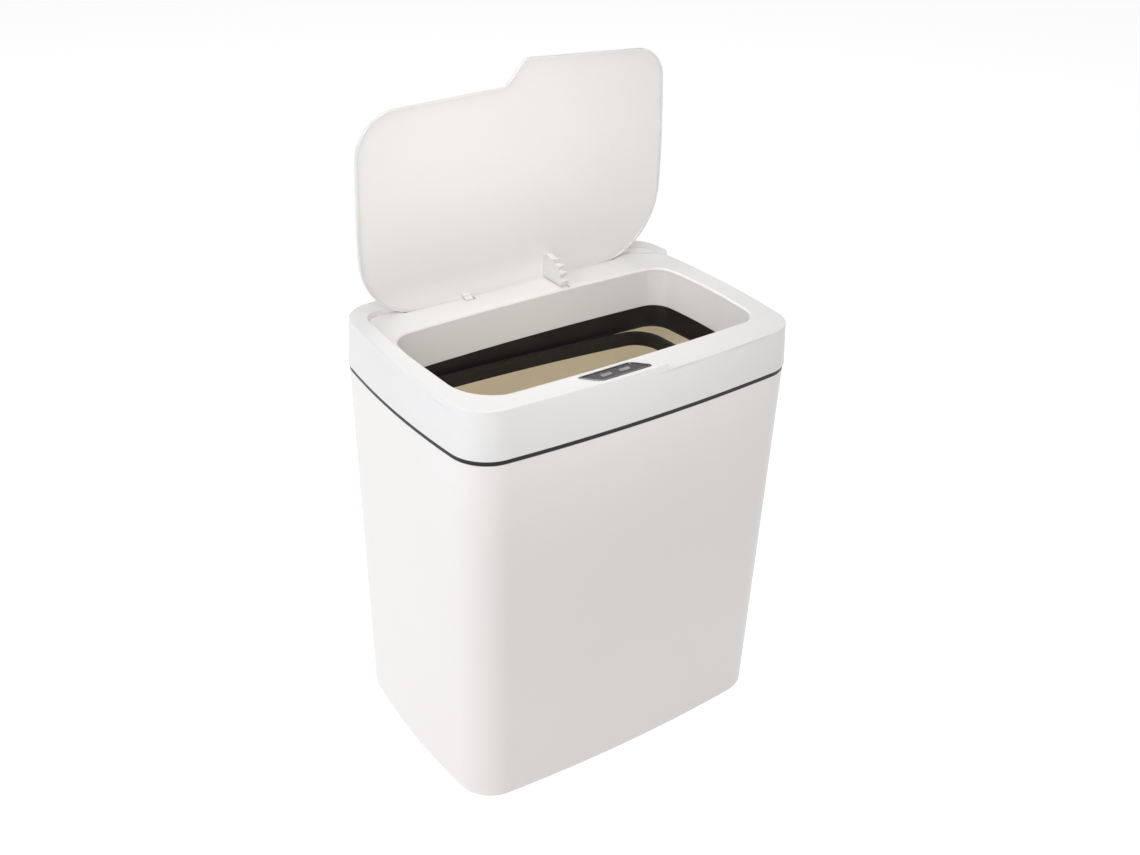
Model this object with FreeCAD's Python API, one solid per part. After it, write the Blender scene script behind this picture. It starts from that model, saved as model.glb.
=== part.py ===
import FreeCAD, Part
import math
import os

# Touch-free waste bin, millimetres. The origin is on the floor at the middle of the body.
# +Z is up, the front faces -Y, the lid hinges along X at the back. The lid stands open.

V = FreeCAD.Vector

# ---- Driving dimensions ----

# Plan outline of the body and head: a rectangle with bowed sides and round corners.
HEAD_WIDTH = 300.0           # X, at the head's lower edge
HEAD_DEPTH = 214.5           # Y, at the head's lower edge
HEAD_CORNER = 30.8           # corner radius there
BOW_LONG = 7.7               # how far the front and back bulge
BOW_SHORT = 8.3              # how far the sides bulge
BODY_BASE_WIDTH = 292.0
BODY_BASE_DEPTH = 205.0
BODY_TOP_INSET = 0.6         # the body's top edge lies this far inside the head's lower edge

# Levels above the floor.
BODY_BOTTOM = 1.5
BODY_TOP = 311.7
HEAD_BOTTOM = 315.4
SEAT_TOP = 347.4             # floor of the lid's recess
HEAD_TOP = 352.3             # raised border and sensor strip
HEAD_DRAFT = 0.074           # inward lean of the head's walls, per millimetre of height
CORNER_DRAFT = 0.123         # how fast the head's corner radius shrinks
HEAD_EDGE_RADIUS = 1.2       # rounding of the head's upper edge

# Walls.
BODY_WALL = 2.0
BODY_FLOOR = 2.5
HEAD_WALL = 2.2
ROOF_UNDERSIDE = 345.2

# Mouth: the collar that leads into the bin.
MOUTH_CENTRE_Y = -13.15
MOUTH_WIDTH = 258.4
MOUTH_DEPTH = 125.5
MOUTH_CORNER = 18.3
MOUTH_BOW_LONG = 3.9
MOUTH_BOW_SHORT = 4.7
COLLAR_WALL = 2.0
COLLAR_BOTTOM = 316.0
COLLAR_NARROWING = 5.6       # how much narrower the collar is at its lower edge
MOUTH_EDGE_BEVEL = 1.3       # bevel around the mouth's top edge

# Black frame between body and head, with the bag skirt.
FRAME_SHELF = 2.2
SKIRT_BOTTOM = 298.0
SKIRT_WALL = 1.8
SKIRT_BEAD = 0.6

# Bag ring: a loose hoop that hangs a little lower at the right.
RING_WIDTH = 228.0
RING_DEPTH = 110.0
RING_BAND = 2.4
RING_HEIGHT = 11.0
RING_BOW_LONG = 3.6
RING_BOW_SHORT = 4.2
RING_MIDDLE_X = -5.0         # it lies a little to the left
RING_MIDDLE_Z = 297.7
RING_TILT = 2.6              # degrees about Y

# Hinge and lid.
HINGE_Y = 76.5
HINGE_Z = 345.0
OPEN_ANGLE = 90.0
LID_UNDERSIDE = 347.6        # closed lid: lower edge of its rim
LID_TOP = 351.4
LID_SKIN = 2.6
LID_RIM_WIDTH = 1.5
PIN_RADIUS = 1.5
RUNNING_GAP = 0.05
KNUCKLE_X = (-45.0, -38.0)
SECTOR_X = (32.0, 37.2)

# Gears: stub teeth, 25 degrees.
PRESSURE_ANGLE = math.radians(25.0)
ADDENDUM = 0.8
DEDENDUM = 1.0
BACKLASH = 0.16
SECTOR_MODULE = 2.0
SECTOR_TEETH = 24
OUTPUT_PINION_TEETH = 9
OUTPUT_MODULE = 0.8
OUTPUT_WHEEL_TEETH = 26
IDLER_PINION_TEETH = 10
MOTOR_MODULE = 0.6
IDLER_WHEEL_TEETH = 36
MOTOR_PINION_TEETH = 10
OUTPUT_DIRECTION = 246.0     # degrees in the YZ plane, from +Y towards +Z
IDLER_DIRECTION = -5.0
MOTOR_DIRECTION = 55.0

# Mechanism tray that hangs from the head behind the skirt.
TRAY_X = (-112.0, 84.0)
TRAY_Y = (50.2, 98.8)
TRAY_BOTTOM = 299.6
TRAY_WALL = 1.2
BASE_THICKNESS = 1.6
BASE_BOTTOM = 315.6

# Sensor on the front strip.
SENSOR_OUTLINE = ((-54.5, -88.0, 1.6), (-8.0, -88.0, 9.0), (5.0, -101.4, 2.0), (-41.5, -101.4, 10.0))
BEZEL_WIDTH = 1.3
SENSOR_PROUD = 0.5
EYE_X = (-32.9, -17.2)
EYE_Y = -94.9
EYE_LENGTH = 9.0
EYE_WIDTH = 3.6
EYE_GAP = 0.1

# Batteries: four AA cells in a two by two block.
CELL_RADIUS = 7.1
CELL_LENGTH = 49.5
BATTERY_X = (-84.0, -24.0)
BATTERY_Y = (58.0, 90.6)
BATTERY_TOP = 332.6


# ---- Outline helpers ----

def unit(vector):
    return vector * (1.0 / vector.Length)


def bowed_wire(width, depth, corner, bow_long, bow_short, z, centre_y=0.0):
    """Closed outline at height z: four shallow side arcs joined by four corner arcs."""
    radius_long = (width * width / 4 + bow_long * bow_long) / (2 * bow_long)
    radius_short = (depth * depth / 4 + bow_short * bow_short) / (2 * bow_short)
    long_centre = V(0, depth / 2 - radius_long, 0)
    short_centre = V(width / 2 - radius_short, 0, 0)
    # The corner circle touches both side circles from inside.
    reach_long = radius_long - corner
    reach_short = radius_short - corner
    between = short_centre - long_centre
    span = between.Length
    along = (reach_long ** 2 - reach_short ** 2 + span ** 2) / (2 * span)
    across = math.sqrt(reach_long ** 2 - along ** 2)
    direction = unit(between)
    normal = V(-direction.y, direction.x, 0)
    corner_centre = long_centre + direction * along + normal * across
    if corner_centre.x < 0 or corner_centre.y < 0:
        corner_centre = long_centre + direction * along - normal * across
    touch_long = long_centre + unit(corner_centre - long_centre) * radius_long
    touch_short = short_centre + unit(corner_centre - short_centre) * radius_short
    corner_middle = corner_centre + unit(unit(touch_long - corner_centre)
                                         + unit(touch_short - corner_centre)) * corner
    back_middle = V(0, depth / 2, 0)
    side_middle = V(width / 2, 0, 0)

    def place(point, sign_x, sign_y):
        return V(point.x * sign_x, point.y * sign_y + centre_y, z)

    edges = []
    turns = ((1, 1), (-1, 1), (-1, -1), (1, -1))
    for index, (sx, sy) in enumerate(turns):
        start, end = (touch_short, touch_long) if index % 2 == 0 else (touch_long, touch_short)
        edges.append(Part.Arc(place(start, sx, sy), place(corner_middle, sx, sy),
                              place(end, sx, sy)).toShape())
        next_x, next_y = turns[(index + 1) % 4]
        middle = back_middle if index % 2 == 0 else side_middle
        edges.append(Part.Arc(place(end, sx, sy), place(middle, next_x, next_y),
                              place(end, next_x, next_y)).toShape())
    return Part.Wire(edges)


def rounded_wire(corners, z):
    """Closed outline through (x, y, radius) corners, each rounded by a tangent arc."""
    points = [V(x, y, z) for x, y, radius in corners]
    count = len(points)
    edges = []
    cuts = []
    for i in range(count):
        before = unit(points[i - 1] - points[i])
        after = unit(points[(i + 1) % count] - points[i])
        half = before.getAngle(after) / 2
        radius = corners[i][2]
        if radius <= 0:
            cuts.append((points[i], points[i], None))
            continue
        back = radius / math.tan(half)
        centre = points[i] + unit(before + after) * (radius / math.sin(half))
        middle = centre + unit(points[i] - centre) * radius
        cuts.append((points[i] + before * back, points[i] + after * back, middle))
    for i in range(count):
        start, end, middle = cuts[i]
        if middle is not None:
            edges.append(Part.Arc(start, middle, end).toShape())
        following = cuts[(i + 1) % count][0]
        if (following - end).Length > 1e-6:
            edges.append(Part.makeLine(end, following))
    return Part.Wire(edges)


def prism(wire, height):
    return Part.Face(wire).extrude(V(0, 0, height))


def loft(wires):
    return Part.makeLoft(wires, True, True)


def box(x, y, z):
    """Box between three (low, high) pairs."""
    return Part.makeBox(x[1] - x[0], y[1] - y[0], z[1] - z[0], V(x[0], y[0], z[0]))


def rod_x(radius, x, y, z):
    """Round bar along X between the two values of x."""
    return Part.makeCylinder(radius, x[1] - x[0], V(x[0], y, z), V(1, 0, 0))


def rod_z(radius, z, x, y):
    return Part.makeCylinder(radius, z[1] - z[0], V(x, y, z[0]), V(0, 0, 1))


def fuse_all(shapes):
    result = shapes[0].multiFuse(shapes[1:]) if len(shapes) > 1 else shapes[0]
    return result.removeSplitter()


def group(shapes):
    return Part.makeCompound(shapes)


def save(name, shape):
    for solid in shape.Solids:
        assert solid.isValid() and solid.Volume > 0, name
    shape.exportStep("parts/" + name + ".step")
    bounds = shape.BoundBox
    print("%-18s solids %d  x %.1f..%.1f  y %.1f..%.1f  z %.1f..%.1f" % (
        name, len(shape.Solids), bounds.XMin, bounds.XMax, bounds.YMin, bounds.YMax,
        bounds.ZMin, bounds.ZMax))


# ---- Outlines at a height ----

def body_outline(z, inset=0.0):
    """Body outline at height z, moved inwards by inset."""
    share = z / BODY_TOP
    top_width = HEAD_WIDTH - 2 * BODY_TOP_INSET
    top_depth = HEAD_DEPTH - 2 * BODY_TOP_INSET
    width = BODY_BASE_WIDTH + (top_width - BODY_BASE_WIDTH) * share
    depth = BODY_BASE_DEPTH + (top_depth - BODY_BASE_DEPTH) * share
    return bowed_wire(width - 2 * inset, depth - 2 * inset, HEAD_CORNER - inset,
                      BOW_LONG, BOW_SHORT, z)


def head_outline(z, inset=0.0):
    lean = (z - HEAD_BOTTOM) * HEAD_DRAFT + inset
    corner = HEAD_CORNER - (z - HEAD_BOTTOM) * CORNER_DRAFT - inset
    return bowed_wire(HEAD_WIDTH - 2 * lean, HEAD_DEPTH - 2 * lean, corner, BOW_LONG, BOW_SHORT, z)


def mouth_outline(z, outset=0.0):
    """Inner face of the collar, and of the skirt below it, at height z."""
    narrowing = COLLAR_NARROWING * (SEAT_TOP - z) / (SEAT_TOP - COLLAR_BOTTOM)
    width = MOUTH_WIDTH - narrowing + 2 * outset
    depth = MOUTH_DEPTH - narrowing + 2 * outset
    return bowed_wire(width, depth, MOUTH_CORNER + outset, MOUTH_BOW_LONG, MOUTH_BOW_SHORT, z,
                      MOUTH_CENTRE_Y)


# ---- Bin body ----

def body_shell():
    foot_radius = 2.5
    outer = loft([body_outline(BODY_BOTTOM), body_outline(BODY_TOP)])
    rim = [edge for edge in outer.Edges if edge.BoundBox.ZMax < BODY_BOTTOM + 0.1]
    outer = outer.makeFillet(foot_radius, rim)
    hollow = loft([body_outline(BODY_BOTTOM + BODY_FLOOR, BODY_WALL),
                   body_outline(BODY_TOP + 1, BODY_WALL)])
    shell = outer.cut(hollow)
    for x, y in foot_places():
        shell = shell.cut(rod_z(FOOT_RADIUS + 0.2, (BODY_BOTTOM - 1, BODY_BOTTOM + FOOT_RECESS), x, y))
    return shell


FOOT_RADIUS = 9.0
FOOT_RECESS = 1.0
FOOT_X = 112.0
FOOT_Y = 72.0


def foot_places():
    return [(sx * FOOT_X, sy * FOOT_Y) for sx in (-1, 1) for sy in (-1, 1)]


def rubber_feet():
    feet = []
    for x, y in foot_places():
        foot = rod_z(FOOT_RADIUS, (0, BODY_BOTTOM + FOOT_RECESS), x, y)
        lower = [edge for edge in foot.Edges if edge.BoundBox.ZMax < 0.1]
        feet.append(foot.makeFillet(0.6, lower))
    return group(feet)


# ---- Black frame ----

LIP_GAP = 0.3
LIP_WALL = 1.8
LIP_BOTTOM = 304.0


def trim_frame():
    """Flat frame on the body's top edge, with a lip inside the body and the bag skirt."""
    rim_inset = BODY_TOP_INSET + 0.3
    shelf_bottom = HEAD_BOTTOM - FRAME_SHELF
    plate = loft([head_outline(BODY_TOP, rim_inset), head_outline(HEAD_BOTTOM, rim_inset)])
    under = loft([body_outline(BODY_TOP - 1, BODY_WALL + LIP_GAP + LIP_WALL),
                  body_outline(shelf_bottom, BODY_WALL + LIP_GAP + LIP_WALL)])
    plate = plate.cut(under)
    lip_outer = loft([body_outline(LIP_BOTTOM, BODY_WALL + LIP_GAP),
                      body_outline(BODY_TOP + 0.5, BODY_WALL + LIP_GAP)])
    lip_inner = loft([body_outline(LIP_BOTTOM - 1, BODY_WALL + LIP_GAP + LIP_WALL),
                      body_outline(BODY_TOP + 1, BODY_WALL + LIP_GAP + LIP_WALL)])
    skirt = loft([mouth_outline(SKIRT_BOTTOM, SKIRT_WALL), mouth_outline(HEAD_BOTTOM, SKIRT_WALL)])
    bead_top = SKIRT_BOTTOM + 1.4
    bead = loft([mouth_outline(SKIRT_BOTTOM, SKIRT_WALL), mouth_outline(bead_top, SKIRT_WALL)])
    frame = plate.fuse(lip_outer.cut(lip_inner)).fuse(skirt)
    frame = frame.cut(loft([mouth_outline(SKIRT_BOTTOM - 1), mouth_outline(HEAD_BOTTOM + 1)]))
    bead = bead.cut(loft([mouth_outline(SKIRT_BOTTOM - 1, -SKIRT_BEAD),
                          mouth_outline(bead_top + 1, -SKIRT_BEAD)]))
    frame = frame.fuse(bead)
    gap = 1.2
    tray_room = box((TRAY_X[0] - gap, TRAY_X[1] + gap), (TRAY_Y[0] - gap, TRAY_Y[1] + 20),
                    (LIP_BOTTOM - 1, BODY_TOP))
    tray_room = tray_room.fuse(box((TRAY_X[0] - gap, TRAY_X[1] + gap),
                                   (TRAY_Y[0] - gap, TRAY_Y[1] + gap),
                                   (LIP_BOTTOM - 1, HEAD_BOTTOM + 1)))
    frame = frame.cut(tray_room.cut(skirt))
    return frame.fuse(ring_rests()).removeSplitter()


REST_WIDTH = 8.0
REST_DROP = 0.2              # gap between a hook's toe and the ring
REST_TOE = 2.0               # thickness of the toe
REST_REACH = 5.5             # the toe ends this far inside the ring's outer face
REST_FRONT_X = 60.0
REST_BACK_X = -92.0
REST_RIGHT_Y = MOUTH_CENTRE_Y - 28.0


def ring_low_z(x):
    """Height of the hanging ring's lower edge at x."""
    slope = math.tan(math.radians(RING_TILT))
    return RING_MIDDLE_Z - RING_HEIGHT / 2 - (x - RING_MIDDLE_X) * slope


def bow_at(bow, distance, half_span):
    """How far a bowed side has curved inwards at a distance from its middle."""
    return bow * (distance / half_span) ** 2


def ring_rests():
    """Four hooks below the skirt that the bag ring lies on: two in front, one behind, one at the right."""
    narrowing = COLLAR_NARROWING * (SEAT_TOP - SKIRT_BOTTOM) / (SEAT_TOP - COLLAR_BOTTOM)
    half_width = (MOUTH_WIDTH - narrowing) / 2
    half_depth = (MOUTH_DEPTH - narrowing) / 2
    hooks = []
    for x, side in ((-REST_FRONT_X, -1), (REST_FRONT_X, -1), (REST_BACK_X, 1)):
        wall = half_depth - bow_at(MOUTH_BOW_LONG, x, half_width)
        leg_y = sorted(MOUTH_CENTRE_Y + side * d for d in (wall, wall + SKIRT_WALL))
        reach = RING_DEPTH / 2 - bow_at(RING_BOW_LONG, x - RING_MIDDLE_X, RING_WIDTH / 2) - REST_REACH
        toe_y = sorted(MOUTH_CENTRE_Y + side * d for d in (reach, wall + SKIRT_WALL))
        top = ring_low_z(x + REST_WIDTH / 2) - REST_DROP
        span_x = (x - REST_WIDTH / 2, x + REST_WIDTH / 2)
        leg = box(span_x, leg_y, (top - REST_TOE, SKIRT_BOTTOM + 1))
        hooks.append(leg.fuse(box(span_x, toe_y, (top - REST_TOE, top))))
    away = REST_RIGHT_Y - MOUTH_CENTRE_Y
    wall = half_width - bow_at(MOUTH_BOW_SHORT, away, half_depth)
    ring_end = RING_MIDDLE_X + RING_WIDTH / 2
    reach = ring_end - bow_at(RING_BOW_SHORT, away, RING_DEPTH / 2) - REST_REACH
    top = ring_low_z(ring_end) - REST_DROP
    span_y = (REST_RIGHT_Y - REST_WIDTH / 2, REST_RIGHT_Y + REST_WIDTH / 2)
    leg = box((wall, wall + SKIRT_WALL), span_y, (top - REST_TOE, SKIRT_BOTTOM + 1))
    hooks.append(leg.fuse(box((reach, wall + SKIRT_WALL), span_y, (top - REST_TOE, top))))
    return group(hooks)


def bag_ring():
    """Oval hoop with a rounded upper bead, tilted about Y."""
    low = -RING_HEIGHT / 2
    bead_radius = 1.6
    corner = MOUTH_CORNER + 4.0

    def hoop(outset, z):
        return bowed_wire(RING_WIDTH + 2 * outset, RING_DEPTH + 2 * outset, corner + outset,
                          RING_BOW_LONG, RING_BOW_SHORT, z, MOUTH_CENTRE_Y)

    band = loft([hoop(-0.8, low), hoop(0, -low - bead_radius)])
    band = band.cut(loft([hoop(-RING_BAND - 0.8, low - 1), hoop(-RING_BAND, -low - bead_radius + 1)]))
    top = loft([hoop(0, -low - 2 * bead_radius), hoop(1.2, -low - 1.2 * bead_radius),
                hoop(1.2, -low - 0.8 * bead_radius), hoop(0.4, -low)])
    top = top.cut(loft([hoop(-RING_BAND - 0.6, -low - 2 * bead_radius - 1),
                        hoop(-RING_BAND - 0.6, -low + 1)]))
    ring = band.fuse(top)
    ring.rotate(V(0, MOUTH_CENTRE_Y, 0), V(0, 1, 0), RING_TILT)
    ring.translate(V(RING_MIDDLE_X, 0, RING_MIDDLE_Z))
    return ring


# ---- Lid outline, drawn with the lid closed ----

LID_CORNERS = (
    (-131.0, 76.5, 50.0),
    (-132.3, 8.0, 410.0),
    (-129.0, -81.6, 36.0),
    (-3.6, -84.4, 8.0),
    (14.0, -103.4, 8.0),
    (141.9, -95.1, 27.0),
    (146.2, -12.0, 500.0),
    (144.6, 76.5, 60.0),
)

RECESS_CORNERS = (
    (-130.6, 83.6, 16.0),
    (-134.2, 8.0, 420.0),
    (-130.8, -83.2, 37.0),
    (-5.2, -86.2, 7.0),
    (22.0, -113.4, 0.0),
    (22.0, -140.0, 0.0),
    (190.0, -140.0, 0.0),
    (190.0, 26.0, 0.0),
    (117.0, 83.6, 12.0),
)


def offset_wire(corners, z, inset):
    wire = rounded_wire(corners, z)
    if inset <= 0:
        return wire
    return wire.makeOffset2D(-inset)


def turn_open(shape):
    """Swing a lid part from closed to open about the hinge axis."""
    shape.rotate(V(0, HINGE_Y, HINGE_Z), V(1, 0, 0), -OPEN_ANGLE)
    return shape


def lid_panel():
    rounding = 1.5
    body = prism(rounded_wire(LID_CORNERS, LID_UNDERSIDE), LID_TOP - rounding - LID_UNDERSIDE)
    steps = 3
    levels = [math.radians(90.0 * i / steps) for i in range(steps + 1)]
    crown = loft([offset_wire(LID_CORNERS, LID_TOP - rounding + rounding * math.sin(turn),
                              rounding * (1 - math.cos(turn))) for turn in levels])
    body = body.fuse(crown)
    skin_bottom = LID_TOP - LID_SKIN
    dish = prism(offset_wire(LID_CORNERS, LID_UNDERSIDE - 1, LID_RIM_WIDTH),
                 skin_bottom - LID_UNDERSIDE + 1)
    return turn_open(body.cut(dish))


def hinge_knuckle():
    """Lug on the lid's underside that turns on the left hinge pin."""
    hub_radius = 3.3
    skin_bottom = LID_TOP - LID_SKIN
    hub = rod_x(hub_radius, KNUCKLE_X, HINGE_Y, HINGE_Z)
    web = box(KNUCKLE_X, (HINGE_Y - 4.6, HINGE_Y - 0.6 + LID_RIM_WIDTH / 2), (HINGE_Z, skin_bottom))
    web = web.cut(box(KNUCKLE_X, (HINGE_Y - LID_RIM_WIDTH, HINGE_Y + 5), (LID_UNDERSIDE, skin_bottom + 1)))
    lug = hub.fuse(web)
    lug = lug.cut(box(KNUCKLE_X, (HINGE_Y - LID_RIM_WIDTH, HINGE_Y + 5), (LID_UNDERSIDE, skin_bottom + 1)))
    lug = lug.cut(rod_x(PIN_RADIUS + RUNNING_GAP, (KNUCKLE_X[0] - 1, KNUCKLE_X[1] + 1), HINGE_Y, HINGE_Z))
    return turn_open(lug.removeSplitter())


# ---- Gears ----

def involute_point(base_radius, radius, turn, side):
    """Point of an involute flank at the given radius, turned by an angle."""
    angle_here = math.acos(min(1.0, base_radius / radius))
    sweep = math.tan(angle_here) - angle_here
    angle = turn - side * sweep
    return V(radius * math.cos(angle), radius * math.sin(angle), 0)


def gear_wire(module, teeth, tooth_at):
    """Spur gear outline about the origin, with one tooth centred at the angle tooth_at (degrees)."""
    pitch_radius = module * teeth / 2
    base_radius = pitch_radius * math.cos(PRESSURE_ANGLE)
    tip_radius = pitch_radius + ADDENDUM * module
    root_radius = pitch_radius - DEDENDUM * module
    start_radius = max(base_radius, root_radius) + 0.01 * module
    half_pitch_tooth = (math.pi / 2 - BACKLASH / module) / teeth
    base_half = half_pitch_tooth + math.tan(PRESSURE_ANGLE) - PRESSURE_ANGLE
    middle_radius = (start_radius + tip_radius) / 2
    edges = []
    step = 2 * math.pi / teeth
    first = math.radians(tooth_at)

    def polar(radius, angle):
        return V(radius * math.cos(angle), radius * math.sin(angle), 0)

    for i in range(teeth):
        centre = first + i * step
        flank = {}
        for side in (-1, 1):
            flank[side] = [involute_point(base_radius, r, centre + side * base_half, side)
                           for r in (start_radius, middle_radius, tip_radius)]
        rise, fall = flank[-1], flank[1]
        rise_angle = math.atan2(rise[0].y, rise[0].x)
        fall_angle = math.atan2(fall[0].y, fall[0].x)
        foot_in = polar(root_radius, rise_angle)
        foot_out = polar(root_radius, fall_angle)
        edges.append(Part.makeLine(foot_in, rise[0]))
        edges.append(Part.Arc(*rise).toShape())
        edges.append(Part.Arc(rise[2], polar(tip_radius, centre), fall[2]).toShape())
        edges.append(Part.Arc(fall[2], fall[1], fall[0]).toShape())
        edges.append(Part.makeLine(fall[0], foot_out))
        half_gap = step / 2
        next_foot = polar(root_radius, rise_angle + step)
        edges.append(Part.Arc(foot_out, polar(root_radius, centre + half_gap), next_foot).toShape())
    return Part.Wire(edges)


def gear_x(module, teeth, tooth_at, x, centre):
    """Spur gear with its axis along X, between the two values of x, about centre (y, z)."""
    gear = Part.Face(gear_wire(module, teeth, tooth_at)).extrude(V(0, 0, x[1] - x[0]))
    # Local X, Y, Z become Y, Z, X.
    turn = FreeCAD.Rotation(V(1, 1, 1), 120)
    gear.Placement = FreeCAD.Placement(V(x[0], centre[0], centre[1]), turn)
    return gear


def step_from(centre, distance, degrees):
    angle = math.radians(degrees)
    return (centre[0] + distance * math.cos(angle), centre[1] + distance * math.sin(angle))


HINGE_CENTRE = (HINGE_Y, HINGE_Z)
OUTPUT_CENTRE = step_from(HINGE_CENTRE, SECTOR_MODULE * (SECTOR_TEETH + OUTPUT_PINION_TEETH) / 2,
                          OUTPUT_DIRECTION)
IDLER_CENTRE = step_from(OUTPUT_CENTRE, OUTPUT_MODULE * (OUTPUT_WHEEL_TEETH + IDLER_PINION_TEETH) / 2,
                         IDLER_DIRECTION)
MOTOR_CENTRE = step_from(IDLER_CENTRE, MOTOR_MODULE * (IDLER_WHEEL_TEETH + MOTOR_PINION_TEETH) / 2,
                         MOTOR_DIRECTION)

OUTPUT_PINION_X = (31.4, 37.8)
OUTPUT_WHEEL_X = (40.0, 44.0)
IDLER_PINION_X = (39.4, 45.4)
IDLER_WHEEL_X = (46.0, 49.0)
MOTOR_PINION_X = (45.4, 49.4)
PLATE_LEFT_X = (28.0, 29.8)
PLATE_RIGHT_X = (50.0, 51.8)
OUTPUT_AXLE = 1.5
IDLER_AXLE = 1.0
MOTOR_SHAFT = 1.0


def half_pitch(teeth):
    return 180.0 / teeth


SECTOR_TOP_ANGLE = 118.0     # upper end of the sector, degrees from +Y towards +Z, lid open
SECTOR_LOW_ANGLE = 258.0     # lower end of its teeth
SECTOR_HUB = 5.0


def lid_sector():
    """Toothed quadrant on the lid's underside, drawn in the open position."""
    gap_direction = OUTPUT_DIRECTION
    tooth_at = gap_direction + half_pitch(SECTOR_TEETH)
    wheel = gear_x(SECTOR_MODULE, SECTOR_TEETH, tooth_at, SECTOR_X, HINGE_CENTRE)
    reach = 40.0
    corners = [V(SECTOR_X[0], HINGE_Y, HINGE_Z)]
    steps = 5
    for i in range(steps + 1):
        angle = SECTOR_TOP_ANGLE + (SECTOR_LOW_ANGLE - SECTOR_TOP_ANGLE) * i / steps
        y, z = step_from(HINGE_CENTRE, reach, angle)
        corners.append(V(SECTOR_X[0], y, z))
    corners.append(corners[0])
    wedge = Part.Face(Part.makePolygon(corners)).extrude(V(SECTOR_X[1] - SECTOR_X[0], 0, 0))
    lid_inner_y = HINGE_Y + (LID_TOP - LID_SKIN) - HINGE_Z
    rim_y = HINGE_Y + LID_UNDERSIDE - HINGE_Z
    rim_top_z = HINGE_Z + LID_RIM_WIDTH
    root_z = HINGE_Z + 21.0
    hub = rod_x(SECTOR_HUB, SECTOR_X, HINGE_Y, HINGE_Z)
    hub = hub.common(box(SECTOR_X, (HINGE_Y - 10, rim_y), (HINGE_Z - 10, HINGE_Z + 10)))
    top_y, top_z = step_from(HINGE_CENTRE, SECTOR_MODULE * SECTOR_TEETH / 2 - 0.5, SECTOR_TOP_ANGLE)
    web_points = [(HINGE_Y, rim_top_z), (lid_inner_y, rim_top_z), (lid_inner_y, root_z),
                  (lid_inner_y - 4.0, root_z + 1.2), (top_y, top_z), (HINGE_Y - 8, HINGE_Z + 6)]
    web_points.append(web_points[0])
    web = Part.Face(Part.makePolygon([V(SECTOR_X[0], y, z) for y, z in web_points]))
    web = web.extrude(V(SECTOR_X[1] - SECTOR_X[0], 0, 0))
    sector = wheel.common(wedge).fuse(hub).fuse(web)
    bore = rod_x(PIN_RADIUS + RUNNING_GAP, (SECTOR_X[0] - 1, SECTOR_X[1] + 1), HINGE_Y, HINGE_Z)
    return sector.cut(bore).removeSplitter()


def output_gear():
    """Compound gear: coarse pinion for the sector and fine wheel for the idler."""
    coarse = gear_x(SECTOR_MODULE, OUTPUT_PINION_TEETH, OUTPUT_DIRECTION - 180, OUTPUT_PINION_X,
                    OUTPUT_CENTRE)
    fine = gear_x(OUTPUT_MODULE, OUTPUT_WHEEL_TEETH, IDLER_DIRECTION + half_pitch(OUTPUT_WHEEL_TEETH),
                  OUTPUT_WHEEL_X, OUTPUT_CENTRE)
    sleeve = rod_x(4.0, (OUTPUT_PINION_X[0], OUTPUT_WHEEL_X[1] + 0.6), *OUTPUT_CENTRE)
    bore = rod_x(OUTPUT_AXLE + RUNNING_GAP, (PLATE_LEFT_X[0], PLATE_RIGHT_X[1]), *OUTPUT_CENTRE)
    return coarse.fuse(fine).fuse(sleeve).cut(bore).removeSplitter()


def idler_gear():
    fine = gear_x(OUTPUT_MODULE, IDLER_PINION_TEETH, IDLER_DIRECTION - 180, IDLER_PINION_X, IDLER_CENTRE)
    wheel = gear_x(MOTOR_MODULE, IDLER_WHEEL_TEETH, MOTOR_DIRECTION + half_pitch(IDLER_WHEEL_TEETH),
                   IDLER_WHEEL_X, IDLER_CENTRE)
    sleeve = rod_x(2.6, (IDLER_PINION_X[0], IDLER_WHEEL_X[1] + 0.5), *IDLER_CENTRE)
    bore = rod_x(IDLER_AXLE + RUNNING_GAP, (PLATE_LEFT_X[0], PLATE_RIGHT_X[1]), *IDLER_CENTRE)
    return fine.fuse(wheel).fuse(sleeve).cut(bore).removeSplitter()


MOTOR_X = (52.4, 77.4)
MOTOR_RADIUS = 10.2


def motor_pinion():
    gear = gear_x(MOTOR_MODULE, MOTOR_PINION_TEETH, MOTOR_DIRECTION - 180, MOTOR_PINION_X, MOTOR_CENTRE)
    return gear.cut(rod_x(MOTOR_SHAFT, (MOTOR_PINION_X[0] - 1, MOTOR_PINION_X[1] + 1), *MOTOR_CENTRE))


def motor_shaft():
    return rod_x(MOTOR_SHAFT, (MOTOR_PINION_X[0], MOTOR_X[0] + 2.0), *MOTOR_CENTRE)


def motor_can():
    """Small direct-current motor with two flats and a boss around its shaft."""
    y, z = MOTOR_CENTRE
    can = rod_x(MOTOR_RADIUS, MOTOR_X, y, z)
    flat = MOTOR_RADIUS - 2.5
    can = can.common(box(MOTOR_X, (y - MOTOR_RADIUS, y + MOTOR_RADIUS), (z - flat, z + flat)))
    end = rod_x(4.6, (MOTOR_X[1], MOTOR_X[1] + 1.6), y, z)
    boss = rod_x(3.0, (PLATE_RIGHT_X[1], MOTOR_X[0]), y, z)
    bore = rod_x(MOTOR_SHAFT + RUNNING_GAP, (PLATE_RIGHT_X[1] - 1, MOTOR_X[0] + 2.1), y, z)
    return can.fuse(end).fuse(boss).cut(bore).removeSplitter()


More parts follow.
